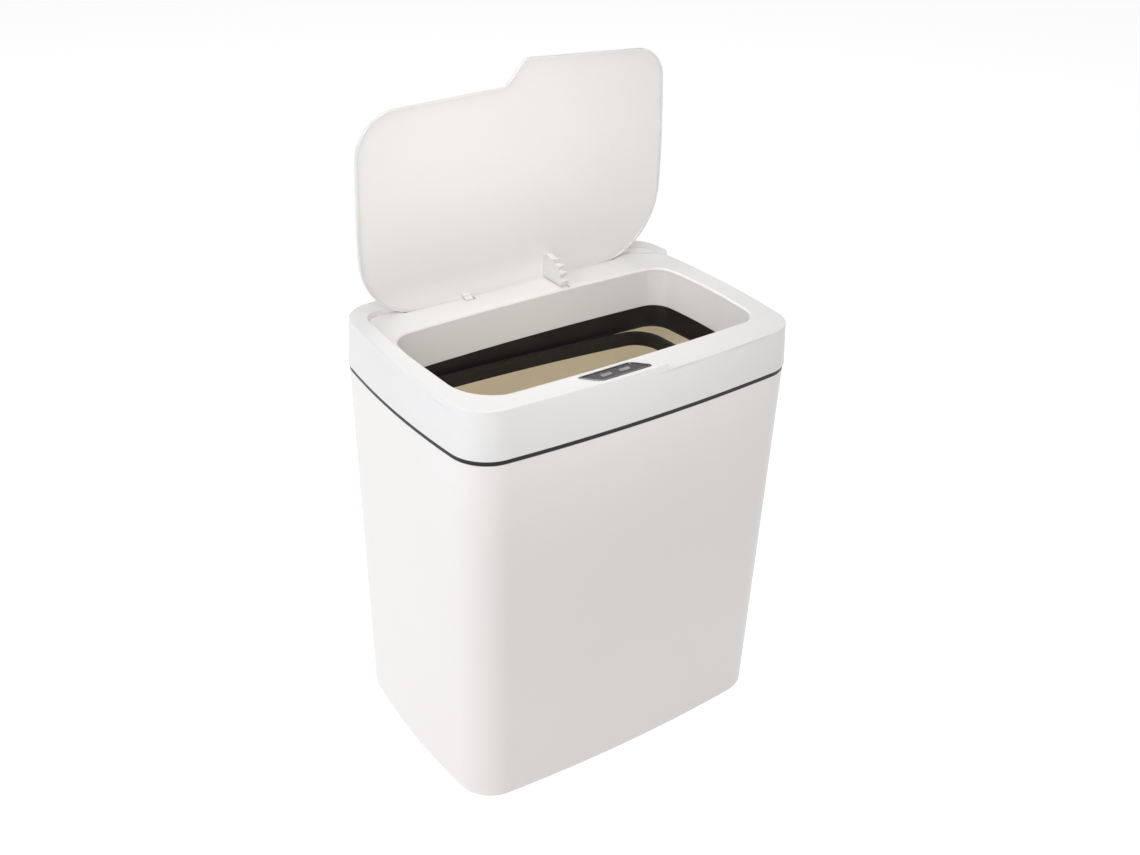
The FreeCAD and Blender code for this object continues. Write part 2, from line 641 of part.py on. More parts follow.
def gearbox_plates():
    """Two side plates that carry the axles and the motor."""
    plates = []
    for span in (PLATE_LEFT_X, PLATE_RIGHT_X):
        corners = ((54.0, TRAY_FLOOR_TOP, 0.0), (96.0, TRAY_FLOOR_TOP, 0.0), (96.0, 338.0, 8.0),
                   (80.0, 338.0, 6.0), (70.0, 326.0, 6.0), (54.0, 326.0, 6.0))
        wire = rounded_wire(corners, 0)
        plate = Part.Face(wire).extrude(V(0, 0, span[1] - span[0]))
        plate.Placement = FreeCAD.Placement(V(span[0], 0, 0), FreeCAD.Rotation(V(1, 1, 1), 120))
        wide = (span[0] - 1, span[1] + 1)
        plate = plate.cut(rod_x(OUTPUT_AXLE, wide, *OUTPUT_CENTRE))
        plate = plate.cut(rod_x(IDLER_AXLE, wide, *IDLER_CENTRE))
        plate = plate.cut(rod_x(3.4, wide, *MOTOR_CENTRE))
        plates.append(plate)
    return group(plates)


def gear_axles():
    span = (PLATE_LEFT_X[0], PLATE_RIGHT_X[1])
    return group([rod_x(OUTPUT_AXLE, span, *OUTPUT_CENTRE), rod_x(IDLER_AXLE, span, *IDLER_CENTRE)])


PIN_LEFT_X = (-51.0, -32.0)
PIN_RIGHT_X = (24.0, 44.6)
BOSS_LOW = 340.8


def hinge_pins():
    return group([rod_x(PIN_RADIUS, span, HINGE_Y, HINGE_Z) for span in (PIN_LEFT_X, PIN_RIGHT_X)])


# ---- Head ----

SLOT_SIDE = 0.9
TROUGH_Y = (78.5, 83.6)
TROUGH_X = (-98.0, 103.0)
TROUGH_BOTTOM = 344.2
SEAT_EDGE_RADIUS = 2.3        # rounded rear edge of the seat, about the hinge axis
SECTOR_SWEEP = 26.1
BASE_POSTS = ((-138.0, -48.0), (138.0, -48.0), (-138.0, 30.0), (138.0, 30.0), (-72.0, -91.0),
              (62.0, -91.0), (-122.0, 80.0), (114.0, 83.0))
POST_RADIUS = 3.4
SCREW_RADIUS = 1.4
BOARD_POSTS = ((-60.5, -92.0), (10.0, -92.0))
SENSOR_BOARD_Z = (335.0, 336.6)
SWITCH_X = 96.0
SWITCH_Z = 331.0


def raised_head(top):
    """Solid head block up to the given level, with a rounded upper edge."""
    block = loft([head_outline(HEAD_BOTTOM), head_outline(top)])
    edges = [edge for edge in block.Edges if edge.BoundBox.ZMin > top - 0.1]
    return block.makeFillet(HEAD_EDGE_RADIUS, edges)


def hinge_bosses():
    bosses = []
    for low, high in ((PIN_LEFT_X[0], KNUCKLE_X[0] - SLOT_SIDE), (KNUCKLE_X[1] + SLOT_SIDE, PIN_LEFT_X[1]),
                      (PIN_RIGHT_X[0], SECTOR_X[0] - SLOT_SIDE), (SECTOR_X[1] + SLOT_SIDE, PIN_RIGHT_X[1])):
        bosses.append(box((low, high), (HINGE_Y - 4.5, HINGE_Y + 4.5), (BOSS_LOW, ROOF_UNDERSIDE + 0.5)))
    return bosses


def head_shell():
    raised = raised_head(HEAD_TOP)
    raised = raised.cut(prism(rounded_wire(RECESS_CORNERS, SEAT_TOP), 20))
    block = raised.fuse(raised_head(SEAT_TOP))
    hollow = loft([head_outline(HEAD_BOTTOM - 0.1, HEAD_WALL), head_outline(ROOF_UNDERSIDE, HEAD_WALL)])
    collar = loft([mouth_outline(COLLAR_BOTTOM, COLLAR_WALL), mouth_outline(SEAT_TOP, COLLAR_WALL)])
    block = block.cut(hollow.cut(collar))
    # Bosses, screw posts and the ridge under the lid's trough.
    additions = hinge_bosses()
    additions.append(box((TROUGH_X[0] - 2, TROUGH_X[1] + 2), (TROUGH_Y[0] - 2, TROUGH_Y[1] + 2),
                         (TROUGH_BOTTOM - 1.8, ROOF_UNDERSIDE + 0.5)))
    post_bottom = BASE_BOTTOM + BASE_THICKNESS
    for x, y in BASE_POSTS:
        additions.append(rod_z(POST_RADIUS, (post_bottom, ROOF_UNDERSIDE + 0.5), x, y))
    for x, y in BOARD_POSTS:
        additions.append(rod_z(2.6, (SENSOR_BOARD_Z[1], ROOF_UNDERSIDE + 0.5), x, y))
    for addition in additions:
        block = block.fuse(addition)
    # The bevel around the mouth starts inside the opening and ends above the seat.
    spare = 0.4
    block = block.cut(loft([mouth_outline(SEAT_TOP - MOUTH_EDGE_BEVEL - spare, -spare),
                            mouth_outline(SEAT_TOP + spare, MOUTH_EDGE_BEVEL + spare)]))
    block = block.cut(loft([mouth_outline(HEAD_BOTTOM - 1), mouth_outline(SEAT_TOP + 1)]))
    # Trough, slots and pin bores for the lid.
    cuts = [box(TROUGH_X, TROUGH_Y, (TROUGH_BOTTOM, HEAD_TOP - 1.5))]
    behind_axis = box(TROUGH_X, (HINGE_Y, TROUGH_Y[0] + 0.5), (HINGE_Z, SEAT_TOP + 0.5))
    cuts.append(behind_axis.cut(rod_x(SEAT_EDGE_RADIUS, TROUGH_X, HINGE_Y, HINGE_Z)))
    for span, front in ((KNUCKLE_X, HINGE_Y - 6.0), (SECTOR_X, HINGE_Y - SECTOR_SWEEP)):
        wide = (span[0] - SLOT_SIDE, span[1] + SLOT_SIDE)
        cuts.append(box(wide, (front, TROUGH_Y[1]), (BOSS_LOW - 2, HEAD_TOP - 1.5)))
    wide = (SECTOR_X[0] - SLOT_SIDE, SECTOR_X[1] + SLOT_SIDE)
    sweep = rod_x(SECTOR_SWEEP, wide, HINGE_Y, HINGE_Z)
    cuts.append(sweep.common(box(wide, (0, 120), (300, HINGE_Z))))
    for span in (PIN_LEFT_X, PIN_RIGHT_X):
        cuts.append(rod_x(PIN_RADIUS, span, HINGE_Y, HINGE_Z))
    # Sensor window, power switch and screw holes.
    cuts.append(prism(rounded_wire(SENSOR_OUTLINE, ROOF_UNDERSIDE - 1), 20))
    cuts.append(box((SWITCH_X - 5.2, SWITCH_X + 5.2), (90, 120), (SWITCH_Z - 2.6, SWITCH_Z + 2.6)))
    for x, y in BASE_POSTS:
        cuts.append(rod_z(SCREW_RADIUS, (BASE_BOTTOM, 330.0), x, y))
    for x, y in BOARD_POSTS:
        cuts.append(rod_z(1.0, (SENSOR_BOARD_Z[0], 343.0), x, y))
    for piece in cuts:
        block = block.cut(piece)
    return block


TRAY_FLOOR_TOP = TRAY_BOTTOM + TRAY_WALL
DOOR_X = (BATTERY_X[0] + 1.0, BATTERY_X[1] - 1.0)
DOOR_Y = (BATTERY_Y[0] + 1.0, BATTERY_Y[1] - 1.0)
MAIN_BOARD_X = (-16.0, 22.0)
MAIN_BOARD_Y = (56.0, 92.0)
MAIN_BOARD_Z = (320.0, 321.6)
MAIN_BOARD_POSTS = ((-12.0, 60.0), (18.0, 60.0), (-12.0, 88.0), (18.0, 88.0))


def head_base():
    """Plate that closes the head from below, with the mechanism tray hanging from it."""
    top = BASE_BOTTOM + BASE_THICKNESS
    plate = prism(head_outline(BASE_BOTTOM, HEAD_WALL + 0.4), BASE_THICKNESS)
    tray = box(TRAY_X, TRAY_Y, (TRAY_BOTTOM, top))
    tray_room = box((TRAY_X[0] + TRAY_WALL, TRAY_X[1] - TRAY_WALL),
                    (TRAY_Y[0] + TRAY_WALL, TRAY_Y[1] - TRAY_WALL), (TRAY_FLOOR_TOP, top + 1))
    base = plate.fuse(tray).cut(tray_room)
    around = loft([mouth_outline(BASE_BOTTOM - 1, COLLAR_WALL + 0.3),
                   mouth_outline(top + 1, COLLAR_WALL + 0.3)])
    base = base.cut(around)
    for x, y in BASE_POSTS:
        base = base.cut(rod_z(SCREW_RADIUS + 0.2, (BASE_BOTTOM - 1, top + 1), x, y))
        base = base.cut(rod_z(2.9, (BASE_BOTTOM - 1, BASE_BOTTOM + 0.8), x, y))
    base = base.cut(box(DOOR_X, DOOR_Y, (TRAY_BOTTOM - 1, TRAY_FLOOR_TOP + 1)))
    posts = [rod_z(2.6, (TRAY_FLOOR_TOP - 0.2, MAIN_BOARD_Z[0]), x, y) for x, y in MAIN_BOARD_POSTS]
    base = base.fuse(posts)
    for x, y in MAIN_BOARD_POSTS:
        base = base.cut(rod_z(1.0, (TRAY_FLOOR_TOP + 6, MAIN_BOARD_Z[0] + 1), x, y))
    return base.removeSplitter()


def self_tapping_screw(x, y, seat, length, shank, head_radius, head_height, upwards):
    """Pan-head screw whose head rests at the level seat."""
    sign = 1 if upwards else -1
    low = min(seat, seat - sign * head_height)
    head = rod_z(head_radius, (low, low + head_height), x, y)
    end = seat + sign * length
    stem = rod_z(shank, (min(seat, end), max(seat, end)), x, y)
    slot = box((x - head_radius, x + head_radius), (y - 0.3, y + 0.3),
               (low - 0.1, low + 0.5) if upwards else (low + head_height - 0.5, low + head_height + 0.1))
    return head.fuse(stem).cut(slot)


def base_screws():
    seat = BASE_BOTTOM + 0.8
    return group([self_tapping_screw(x, y, seat, 12.0, SCREW_RADIUS, 2.7, 0.7, True)
                  for x, y in BASE_POSTS])


def board_screws():
    screws = [self_tapping_screw(x, y, SENSOR_BOARD_Z[0], 7.0, 1.0, 2.0, 1.2, True)
              for x, y in BOARD_POSTS]
    screws += [self_tapping_screw(x, y, MAIN_BOARD_Z[1], 8.0, 1.0, 2.0, 1.2, False)
               for x, y in MAIN_BOARD_POSTS]
    return group(screws)


# ---- Sensor ----

def sensor_bezel():
    top = HEAD_TOP + SENSOR_PROUD
    bottom = HEAD_TOP - 3.5
    outer = prism(rounded_wire(SENSOR_OUTLINE, bottom), top - bottom)
    outer = outer.makeChamfer(0.35, [edge for edge in outer.Edges if edge.BoundBox.ZMin > top - 0.01])
    inner = prism(offset_wire(SENSOR_OUTLINE, bottom - 1, BEZEL_WIDTH), top - bottom + 2)
    return outer.cut(inner)


def eye(x, length, width, z, height):
    half = (length - width) / 2
    middle = box((x - half, x + half), (EYE_Y - width / 2, EYE_Y + width / 2), (z, z + height))
    ends = [rod_z(width / 2, (z, z + height), x + side * half, EYE_Y) for side in (-1, 1)]
    return fuse_all([middle] + ends)


def sensor_window():
    bottom = HEAD_TOP - 2.4
    window = prism(offset_wire(SENSOR_OUTLINE, bottom, BEZEL_WIDTH), HEAD_TOP + 0.1 - bottom)
    for x in EYE_X:
        window = window.cut(eye(x, EYE_LENGTH + 2 * EYE_GAP, EYE_WIDTH + 2 * EYE_GAP, bottom - 1, 5))
    return window


def sensor_lenses():
    bottom = HEAD_TOP - 2.4
    return group([eye(x, EYE_LENGTH, EYE_WIDTH, bottom, HEAD_TOP + 0.25 - bottom) for x in EYE_X])


def sensor_board():
    board = box((-64.0, 13.6), (-100.4, -85.6), SENSOR_BOARD_Z)
    for x, y in BOARD_POSTS:
        board = board.cut(rod_z(1.05, (SENSOR_BOARD_Z[0] - 1, SENSOR_BOARD_Z[1] + 1), x, y))
    return board


def infrared_lamp(x, radius):
    """Leaded infrared lamp or receiver with a domed top, standing on the sensor board."""
    low = SENSOR_BOARD_Z[1]
    flange = rod_z(radius + 0.5, (low, low + 1.2), x, EYE_Y)
    barrel = rod_z(radius, (low, low + 8.0), x, EYE_Y)
    dome = Part.makeSphere(radius, V(x, EYE_Y, low + 8.0))
    return fuse_all([flange, barrel, dome])


# ---- Electrics ----

def main_board():
    board = box(MAIN_BOARD_X, MAIN_BOARD_Y, MAIN_BOARD_Z)
    for x, y in MAIN_BOARD_POSTS:
        board = board.cut(rod_z(1.05, (MAIN_BOARD_Z[0] - 1, MAIN_BOARD_Z[1] + 1), x, y))
    return board


def board_parts():
    """Controller chip, capacitor, motor driver and two plug sockets."""
    low = MAIN_BOARD_Z[1]
    chip = box((-6.0, 4.0), (68.0, 78.0), (low, low + 1.6))
    driver = box((8.0, 14.0), (70.0, 75.0), (low, low + 1.6))
    capacitor = rod_z(4.0, (low, low + 11.0), 12.0, 83.0)
    sockets = [box((x, x + 7.5), (62.0, 66.5), (low, low + 6.0)) for x in (-7.0, 4.5)]
    return group([chip, driver, capacitor] + sockets)


def cell_centres():
    middle_y = (BATTERY_Y[0] + BATTERY_Y[1]) / 2
    middle_z = (TRAY_FLOOR_TOP + BATTERY_TOP - TRAY_WALL) / 2
    spread = CELL_RADIUS + 0.35
    return [(middle_y + sy * spread, middle_z + sz * spread) for sy in (-1, 1) for sz in (-1, 1)]


def batteries():
    cells = []
    middle_x = (BATTERY_X[0] + BATTERY_X[1]) / 2
    for index, (y, z) in enumerate(cell_centres()):
        low = middle_x - CELL_LENGTH / 2
        can = rod_x(CELL_RADIUS, (low, low + CELL_LENGTH - 1.0), y, z)
        nub_x = (low + CELL_LENGTH - 1.0, low + CELL_LENGTH)
        cell = can.fuse(rod_x(2.7, nub_x, y, z))
        if index % 2:
            cell.rotate(V(middle_x, y, z), V(0, 0, 1), 180)
        cells.append(cell)
    return group(cells)


def battery_box():
    outer = box(BATTERY_X, BATTERY_Y, (TRAY_FLOOR_TOP, BATTERY_TOP))
    wall = 1.2
    inner = box((BATTERY_X[0] + wall, BATTERY_X[1] - wall), (BATTERY_Y[0] + wall, BATTERY_Y[1] - wall),
                (TRAY_FLOOR_TOP - 1, BATTERY_TOP - wall))
    return outer.cut(inner)


def battery_contacts():
    """Sprung contact plates at the two ends of the cells."""
    plates = []
    wall = 1.2
    thickness = 0.5
    for end_x, side in ((BATTERY_X[0] + wall, 1), (BATTERY_X[1] - wall, -1)):
        span = sorted((end_x, end_x + side * thickness))
        for y, z in cell_centres():
            plate = box(span, (y - 5, y + 5), (z - 5, z + 5))
            reach = sorted((end_x + side * thickness, end_x + side * 3.0))
            plates.append(plate.fuse(rod_x(2.2, reach, y, z)))
    return group(plates)


def battery_door():
    gap = 0.4
    door = box((DOOR_X[0] + gap, DOOR_X[1] - gap), (DOOR_Y[0] + gap, DOOR_Y[1] - gap),
               (TRAY_BOTTOM, TRAY_FLOOR_TOP))
    door = door.fuse(box((DOOR_X[0] + 4, DOOR_X[0] + 16), (DOOR_Y[0] + 8, DOOR_Y[1] - 8),
                         (TRAY_BOTTOM - 1.0, TRAY_BOTTOM)))
    return door.removeSplitter()




def switch_housing():
    """Slide switch body behind the head's rear wall."""
    return box((SWITCH_X - 8, SWITCH_X + 8), (88.0, 94.0), (SWITCH_Z - 4, SWITCH_Z + 4)).cut(
        box((SWITCH_X - 5, SWITCH_X + 5), (92.0, 95.0), (SWITCH_Z - 2.2, SWITCH_Z + 2.2)))


def switch_knob():
    low = SWITCH_X - 4.6
    width = 5.6
    stem = box((low, low + width), (92.3, 103.6), (SWITCH_Z - 1.9, SWITCH_Z + 1.9))
    grooves = [box((low + 1.0 + i * 1.4, low + 1.6 + i * 1.4), (103.1, 104.0),
                   (SWITCH_Z - 2, SWITCH_Z + 2)) for i in range(3)]
    return stem.cut(grooves)


def main():
    os.makedirs("parts", exist_ok=True)
    save("body_shell", body_shell())
    save("rubber_feet", rubber_feet())
    save("trim_frame", trim_frame())
    save("bag_ring", bag_ring())
    save("head_shell", head_shell())
    save("head_base", head_base())
    save("base_screws", base_screws())
    save("lid_panel", lid_panel())
    save("hinge_knuckle", hinge_knuckle())
    save("lid_sector", lid_sector())
    save("hinge_pins", hinge_pins())
    save("output_gear", output_gear())
    save("idler_gear", idler_gear())
    save("motor_pinion", motor_pinion())
    save("motor_shaft", motor_shaft())
    save("motor_can", motor_can())
    save("gearbox_plates", gearbox_plates())
    save("gear_axles", gear_axles())
    save("sensor_bezel", sensor_bezel())
    save("sensor_window", sensor_window())
    save("sensor_lenses", sensor_lenses())
    save("sensor_board", sensor_board())
    save("ir_emitter", infrared_lamp(EYE_X[0], 2.5))
    save("ir_receiver", infrared_lamp(EYE_X[1], 2.5))
    save("board_screws", board_screws())
    save("main_board", main_board())
    save("board_parts", board_parts())
    save("battery_box", battery_box())
    save("batteries", batteries())
    save("battery_contacts", battery_contacts())
    save("battery_door", battery_door())
    save("switch_housing", switch_housing())
    save("switch_knob", switch_knob())


main()
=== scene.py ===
import math

import bpy
from mathutils import Matrix, Vector


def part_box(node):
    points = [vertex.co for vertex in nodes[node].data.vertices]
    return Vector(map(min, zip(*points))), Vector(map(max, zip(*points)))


# Touch-free waste bin: the looks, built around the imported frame. Metres, +Z up, front towards -Y.

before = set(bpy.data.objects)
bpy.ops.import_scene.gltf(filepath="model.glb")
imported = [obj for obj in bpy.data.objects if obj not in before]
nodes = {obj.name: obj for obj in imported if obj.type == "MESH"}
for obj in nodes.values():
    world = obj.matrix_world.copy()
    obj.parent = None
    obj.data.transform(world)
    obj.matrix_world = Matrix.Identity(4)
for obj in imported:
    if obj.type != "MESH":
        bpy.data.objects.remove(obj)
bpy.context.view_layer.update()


# ---- Camera, light and floor ----

CAMERA_AZIMUTH = math.radians(-32.02)
CAMERA_ELEVATION = math.radians(30.17)
CAMERA_DISTANCE = 1.1367
CAMERA_TARGET = Vector((0.0108, 0.1118, 0.190))
CAMERA_ROLL = -0.00256
CAMERA_LENS = 40.65
CAMERA_SHIFT = (0.0607, 0.0057)


def make_camera():
    data = bpy.data.cameras.new("camera")
    camera = bpy.data.objects.new("camera", data)
    bpy.context.scene.collection.objects.link(camera)
    back = Vector((math.sin(CAMERA_AZIMUTH) * math.cos(CAMERA_ELEVATION),
                   -math.cos(CAMERA_AZIMUTH) * math.cos(CAMERA_ELEVATION),
                   math.sin(CAMERA_ELEVATION)))
    turn = (-back).to_track_quat("-Z", "Y").to_matrix().to_4x4() @ Matrix.Rotation(CAMERA_ROLL, 4, "Z")
    camera.matrix_world = Matrix.Translation(CAMERA_TARGET + back * CAMERA_DISTANCE) @ turn
    data.lens = CAMERA_LENS
    data.sensor_width = 36.0
    data.shift_x, data.shift_y = CAMERA_SHIFT
    data.clip_start = 0.05
    data.clip_end = 50.0
    bpy.context.scene.camera = camera


LIGHT_AIM = (0.0, 0.0, 0.25)
LID_LIGHT_AIM = (-0.02, 0.07, 0.43)
LID_LIGHT_SPREAD = 20.0      # degrees; narrow, so that it stays off the body
SKY_STRENGTH = 0.17
FLOOR_SIZE = 14.0
FLOOR_TONE = 0.35
FLOOR_GLOW = 0.88            # keeps the floor white far from the lights


def area_light(name, place, size, power, colour, aim=LIGHT_AIM, spread=180.0):
    data = bpy.data.lights.new(name, "AREA")
    data.spread = math.radians(spread)
    data.shape = "RECTANGLE"
    data.size, data.size_y = size
    data.energy = power
    data.color = colour
    lamp = bpy.data.objects.new(name, data)
    bpy.context.scene.collection.objects.link(lamp)
    lamp.location = place
    lamp.rotation_mode = "QUATERNION"
    lamp.rotation_quaternion = (Vector(aim) - Vector(place)).to_track_quat("-Z", "Y")


def make_light():
    scene = bpy.context.scene
    scene.view_settings.view_transform = "Standard"
    world = bpy.data.worlds.new("studio")
    scene.world = world
    world.use_nodes = True
    sky = world.node_tree.nodes["Background"]
    sky.inputs["Color"].default_value = (1.0, 0.995, 0.985, 1.0)
    sky.inputs["Strength"].default_value = SKY_STRENGTH
    area_light("key_left", (-1.95, -0.2, 1.3), (1.6, 1.6), 22.5, (0.89, 0.93, 1.0))
    area_light("top", (0.0, -0.05, 2.1), (1.4, 1.4), 19.0, (1.0, 0.995, 0.99))
    area_light("back_high", (0.35, 0.75, 2.0), (1.5, 1.5), 6.0, (1.0, 0.995, 0.99))
    area_light("lid_front", (-0.15, -1.3, 0.95), (0.3, 0.12), 0.155, (1.0, 0.975, 0.945),
               LID_LIGHT_AIM, LID_LIGHT_SPREAD)


def make_floor():
    bpy.ops.mesh.primitive_plane_add(size=FLOOR_SIZE, location=(0, 0, 0))
    floor = bpy.context.object
    floor.name = "floor"
    material = bpy.data.materials.new("floor")
    material.use_nodes = True
    shader = material.node_tree.nodes["Principled BSDF"]
    shader.inputs["Base Color"].default_value = (FLOOR_TONE, FLOOR_TONE, FLOOR_TONE, 1.0)
    shader.inputs["Roughness"].default_value = 0.9
    shader.inputs["Specular IOR Level"].default_value = 0.1
    shader.inputs["Emission Color"].default_value = (1.0, 1.0, 1.0, 1.0)
    shader.inputs["Emission Strength"].default_value = FLOOR_GLOW
    floor.data.materials.append(material)


# ---- Material helpers ----

class Nodes:
    """Short way to build one material's node tree."""

    def __init__(self, name):
        self.material = bpy.data.materials.new(name)
        self.material.use_nodes = True
        self.tree = self.material.node_tree
        self.shader = self.tree.nodes["Principled BSDF"]
        self.place = self.add("ShaderNodeTexCoord").outputs["Object"]

    def add(self, kind, **settings):
        node = self.tree.nodes.new(kind)
        for key, value in settings.items():
            setattr(node, key, value)
        return node

    def link(self, output, node, socket):
        self.tree.links.new(output, node.inputs[socket])

    def noise(self, scale, detail=3.0, roughness=0.55, stretch=(1, 1, 1)):
        mapping = self.add("ShaderNodeMapping")
        mapping.inputs["Scale"].default_value = stretch
        self.link(self.place, mapping, "Vector")
        noise = self.add("ShaderNodeTexNoise")
        noise.inputs["Scale"].default_value = scale
        noise.inputs["Detail"].default_value = detail
        noise.inputs["Roughness"].default_value = roughness
        self.link(mapping.outputs["Vector"], noise, "Vector")
        return noise.outputs["Fac"]

    def spread(self, value, low, high, from_low=0.3, from_high=0.7):
        """Stretch a 0..1 value to a new range."""
        ramp = self.add("ShaderNodeMapRange")
        ramp.inputs["From Min"].default_value = from_low
        ramp.inputs["From Max"].default_value = from_high
        ramp.inputs["To Min"].default_value = low
        ramp.inputs["To Max"].default_value = high
        self.link(value, ramp, "Value")
        return ramp.outputs["Result"]

    def math(self, operation, first, second):
        node = self.add("ShaderNodeMath", operation=operation)
        for socket, value in enumerate((first, second)):
            if isinstance(value, (int, float)):
                node.inputs[socket].default_value = value
            else:
                self.tree.links.new(value, node.inputs[socket])
        return node.outputs[0]

    def mix(self, factor, first, second):
        """Blend two colours, each a tuple or an output."""
        node = self.add("ShaderNodeMix", data_type="RGBA")
        colour_inputs = [socket for socket in node.inputs if socket.type == "RGBA"]
        factor_input = node.inputs[0]
        if isinstance(factor, (int, float)):
            factor_input.default_value = factor
        else:
            self.tree.links.new(factor, factor_input)
        for socket, colour in zip(colour_inputs, (first, second)):
            if isinstance(colour, tuple):
                socket.default_value = colour + (1.0,)
            else:
                self.tree.links.new(colour, socket)
        return [socket for socket in node.outputs if socket.type == "RGBA"][0]

    def bump(self, height, strength, distance, rounding=0.0):
        bump = self.add("ShaderNodeBump")
        bump.inputs["Strength"].default_value = strength
        bump.inputs["Distance"].default_value = distance
        self.link(height, bump, "Height")
        if rounding > 0:
            bevel = self.add("ShaderNodeBevel", samples=6)
            bevel.inputs["Radius"].default_value = rounding
            self.link(bevel.outputs["Normal"], bump, "Normal")
        self.link(bump.outputs["Normal"], self.shader, "Normal")

    def colour(self, output):
        self.link(output, self.shader, "Base Color")

    def roughness(self, output):
        self.link(output, self.shader, "Roughness")

    def constant(self, socket, value):
        self.shader.inputs[socket].default_value = value


def dust(n, amount):
    """Mask for a little dust on faces that look up."""
    geometry = n.add("ShaderNodeNewGeometry")
    split = n.add("ShaderNodeSeparateXYZ")
    n.link(geometry.outputs["Normal"], split, "Vector")
    up = n.spread(split.outputs["Z"], 0.0, amount, 0.5, 1.0)
    return n.math("MULTIPLY", up, n.spread(n.noise(180.0, 4.0), 0.2, 1.0))


def moulded_plastic(name, tone, gloss=0.36, texture=0.5, warm=0.012, rounding=0.0006, coat=0.12):
    """Injection-moulded plastic: fine spark texture, slow tone drift, handled patches."""
    n = Nodes(name)
    drift = n.noise(9.0, 2.0)
    light = tuple(min(1.0, c * 1.006) for c in tone)
    dark = (tone[0] * 0.994, tone[1] * (0.994 - warm * 0.4), tone[2] * (0.994 - warm))
    base = n.mix(n.spread(drift, 0.0, 1.0), dark, light)
    scuffs = n.spread(n.noise(38.0, 6.0, 0.7, (1.0, 1.0, 2.6)), 0.0, 0.05, 0.64, 0.82)
    grime = tuple(c * 0.90 for c in tone)
    base = n.mix(scuffs, base, grime)
    base = n.mix(dust(n, 0.02), base, (0.74, 0.71, 0.66))
    n.colour(base)
    smear = n.noise(16.0, 5.0, 0.6)
    fine = n.noise(900.0, 2.0)
    rough = n.math("ADD", n.spread(smear, gloss - 0.012, gloss + 0.012), n.spread(fine, -0.02, 0.02))
    n.roughness(rough)
    grain = n.noise(2300.0, 2.0, 0.5)
    ripple = n.noise(14.0, 1.0)
    height = n.math("ADD", n.math("MULTIPLY", grain, texture), n.math("MULTIPLY", ripple, 0.3))
    n.bump(height, 0.08, 0.0004, rounding)
    n.constant("IOR", 1.49)
    n.constant("Coat Weight", coat)
    n.constant("Coat Roughness", 0.22)
    n.constant("Subsurface Weight", 0.06)
    n.constant("Subsurface Radius", (1.0, 0.9, 0.8))
    n.constant("Subsurface Scale", 0.0025)
    return n


# Strength of the painted glow on the body's inside faces.
INSIDE_PAINTED_GLOW = 0.10


def body_plastic():
    """The body's white plastic; its plainer inside gets a lighter, warmer colour that is painted light
    for its shaded interior.
    """
    n = moulded_plastic("white_shell", (0.868, 0.832, 0.810))
    outside = n.shader.inputs["Base Color"].links[0].from_socket
    geometry = n.add("ShaderNodeNewGeometry")
    position = n.add("ShaderNodeSeparateXYZ")
    n.link(geometry.outputs["Position"], position, "Vector")
    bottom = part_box("body_shell")[0].z
    floor_top = n.spread(position.outputs["Z"], 0.0, 1.0, bottom + 0.0015, bottom + 0.0024)
    flat = n.add("ShaderNodeVectorMath", operation="MULTIPLY")
    flat.inputs[1].default_value = (1.0, 1.0, 0.0)
    n.link(n.place, flat, 0)
    facing = n.add("ShaderNodeVectorMath", operation="DOT_PRODUCT")
    n.link(flat.outputs["Vector"], facing, 0)
    n.link(geometry.outputs["Normal"], facing, 1)
    inward = n.spread(facing.outputs["Value"], 1.0, 0.0, -0.006, 0.002)
    inside = n.math("MULTIPLY", inward, floor_top)
    # Painted light: the inside's lighter, warmer colour stands in for warm bounce light in the shaded
    # interior.
    inside_painted_light = n.mix(n.spread(n.noise(7.0, 3.0), 0.0, 1.0), (0.91, 0.86, 0.74), (0.94, 0.89, 0.78))
    n.colour(n.mix(inside, outside, inside_painted_light))
    # Painted glow: a warm emission on the inside faces stands in for light in the shaded interior, and
    # shows only on the inside.
    n.link(n.mix(inside, (0.0, 0.0, 0.0), (1.0, 0.87, 0.67)), n.shader, "Emission Color")
    n.constant("Emission Strength", INSIDE_PAINTED_GLOW)
    return n.material


def metal(name, tone, rough, stretch=(1, 1, 1), scale=400.0):
    n = Nodes(name)
    lines = n.noise(scale, 4.0, 0.6, stretch)
    n.colour(n.mix(n.spread(lines, 0.0, 1.0), tuple(c * 0.86 for c in tone), tone))
    n.roughness(n.spread(n.noise(60.0, 4.0), rough - 0.06, rough + 0.1))
    n.bump(lines, 0.15, 0.0001, 0.0002)
    n.constant("Metallic", 1.0)
    return n.material


def smoked_plastic(name, tone, rough):
    """Polished dark window plastic with faint swirls and fingerprints."""
    n = Nodes(name)
    cloud = n.noise(120.0, 4.0)
    n.colour(n.mix(n.spread(cloud, 0.0, 1.0), tone, tuple(c * 1.5 + 0.004 for c in tone)))
    n.roughness(n.spread(n.noise(220.0, 6.0, 0.7), rough, rough + 0.14))
    n.bump(n.noise(700.0, 3.0), 0.05, 0.0001, 0.0002)
    n.constant("IOR", 1.5)
    n.constant("Coat Weight", 0.5)
    n.constant("Coat Roughness", 0.06)
    return n.material


def rubber(name):
    n = Nodes(name)
    speckle = n.noise(500.0, 4.0)
    n.colour(n.mix(n.spread(speckle, 0.0, 1.0), (0.018, 0.018, 0.019), (0.05, 0.05, 0.052)))
    n.roughness(n.spread(n.noise(80.0), 0.7, 0.92))
    n.bump(speckle, 0.4, 0.0003, 0.0004)
    n.constant("Specular IOR Level", 0.35)
    return n.material


